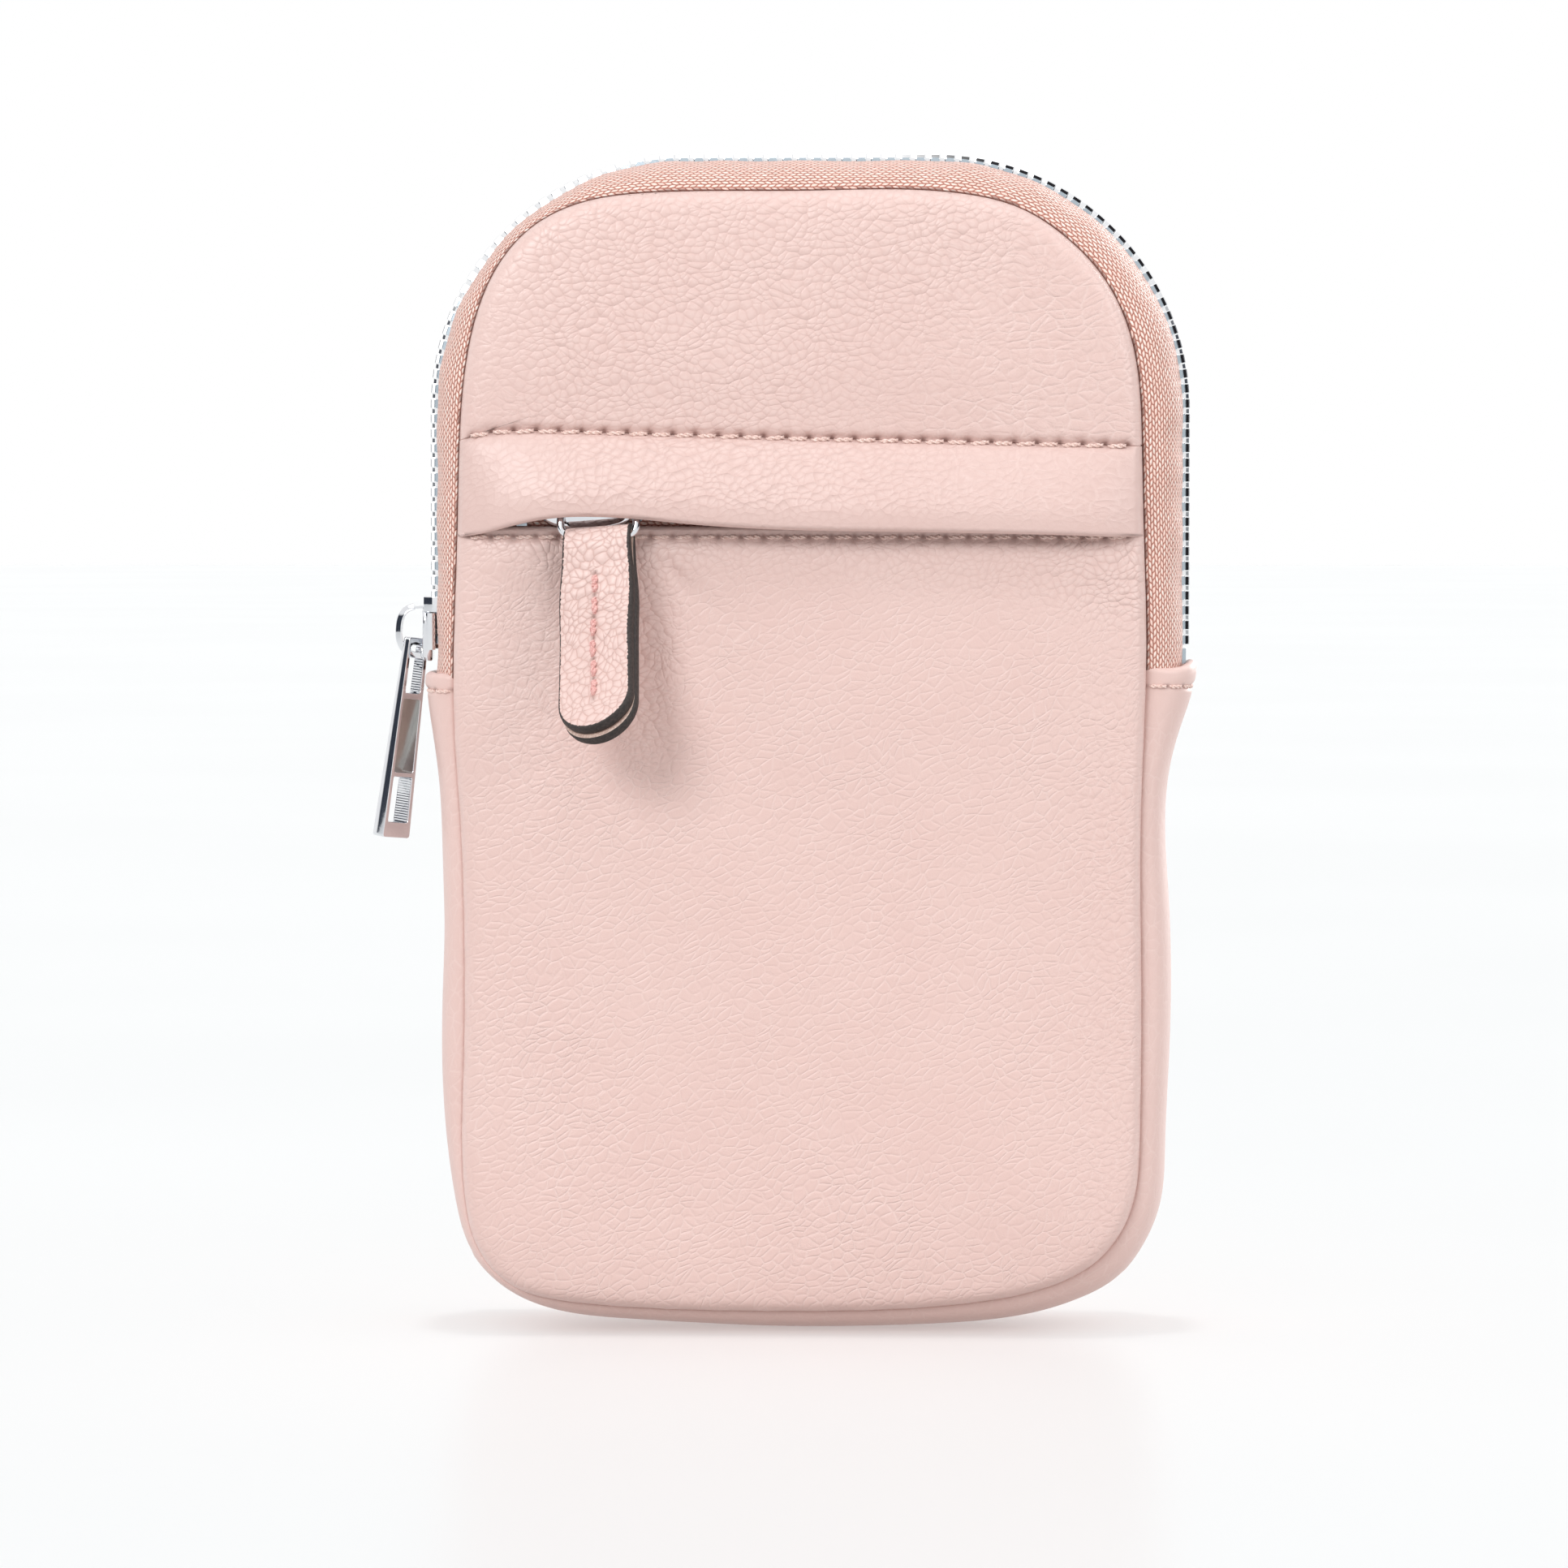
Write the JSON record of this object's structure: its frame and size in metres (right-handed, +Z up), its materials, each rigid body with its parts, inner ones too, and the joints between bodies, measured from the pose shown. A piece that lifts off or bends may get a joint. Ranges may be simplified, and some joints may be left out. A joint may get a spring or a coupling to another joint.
{
  "type": "phone pouch",
  "caption": "Upright soft pouch for a phone: zip over the arched top, zipped front pocket under a flap, leather pull tab on a ring, metal pull on the main slider.",
  "frame": {"origin": "centre of the flat base that the pouch stands on", "axes": "+Z up, +X to the right as the front is looked at, +Y from the front to the back"},
  "size_m": [0.1265, 0.0472, 0.1798],
  "materials": {
    "pink_leather": "pebbled satin, blush pink",
    "zip_tape": "woven twill, salmon pink",
    "lining": "plain woven lining",
    "zip_metal": "polished nickel",
    "thread": "twisted thread",
    "interlining": "soft interlining"
  },
  "bodies": {
    "bag": {"gusset": "pink_leather", "back_panel": "pink_leather", "front_pocket_panel_lower": "pink_leather", "back_zip_tape": "zip_tape", "back_zip_teeth": "zip_metal", "front_zip_tape_ends": "zip_tape", "front_zip_teeth_ends": "zip_metal", "main_zip_bottom_stop": "zip_metal", "back_lining": "lining", "gusset_lining": "lining", "front_lining_lower": "lining", "pocket_bag_lower": "lining", "back_interlining": "interlining", "hem_stitches": "thread"},
    "front_top": {"front_yoke": "pink_leather", "pocket_flap": "pink_leather", "front_pocket_panel_upper": "pink_leather", "front_zip_tape": "zip_tape", "front_zip_teeth": "zip_metal", "pocket_tape_upper": "zip_tape", "pocket_tape_lower": "zip_tape", "pocket_teeth_upper": "zip_metal", "pocket_teeth_lower": "zip_metal", "pocket_zip_stops": "zip_metal", "yoke_topstitch": "thread", "pocket_topstitch": "thread", "front_lining_upper": "lining", "pocket_bag_upper": "lining"},
    "main_slider": {"main_slider_body": "zip_metal", "main_slider_bail": "zip_metal"},
    "main_pull": {"main_pull": "zip_metal"},
    "pocket_slider": {"pocket_slider_body": "zip_metal"},
    "pull_ring": {"pocket_pull_ring": "zip_metal"},
    "pull_tab": {"pull_tab_leather": "pink_leather", "pull_tab_stitches": "thread"}
  },
  "joints": [
    {"name": "mouth_open", "type": "hinge", "parent": "bag", "child": "front_top", "pos_m": [0, -0.0166, 0.096], "axis": [1, 0, 0], "range_deg": [0, 20]},
    {"name": "main_slider_slide", "type": "slide", "parent": "bag", "child": "main_slider", "axis": [0, 0, 1], "range_m": [0, 0.029]},
    {"name": "main_pull_swing", "type": "hinge", "parent": "main_slider", "child": "main_pull", "pos_m": [-0.0613, 0, 0.1048], "axis": [0.3746, 0.9272, 0], "range_deg": [-8, 150]},
    {"name": "pocket_slider_slide", "type": "slide", "parent": "front_top", "child": "pocket_slider", "axis": [1, 0, 0], "range_m": [-0.0035, 0.0675]},
    {"name": "pocket_ring_swing", "type": "hinge", "parent": "pocket_slider", "child": "pull_ring", "pos_m": [-0.032, -0.0185, 0.1266], "axis": [-0.9962, 0.0872, 0], "range_deg": [-2, 12]},
    {"name": "pull_tab_swing", "type": "hinge", "parent": "pull_ring", "child": "pull_tab", "pos_m": [-0.03209, -0.01952, 0.12181], "axis": [-0.9962, 0.0872, 0], "range_deg": [-9, 50]}
  ]
}
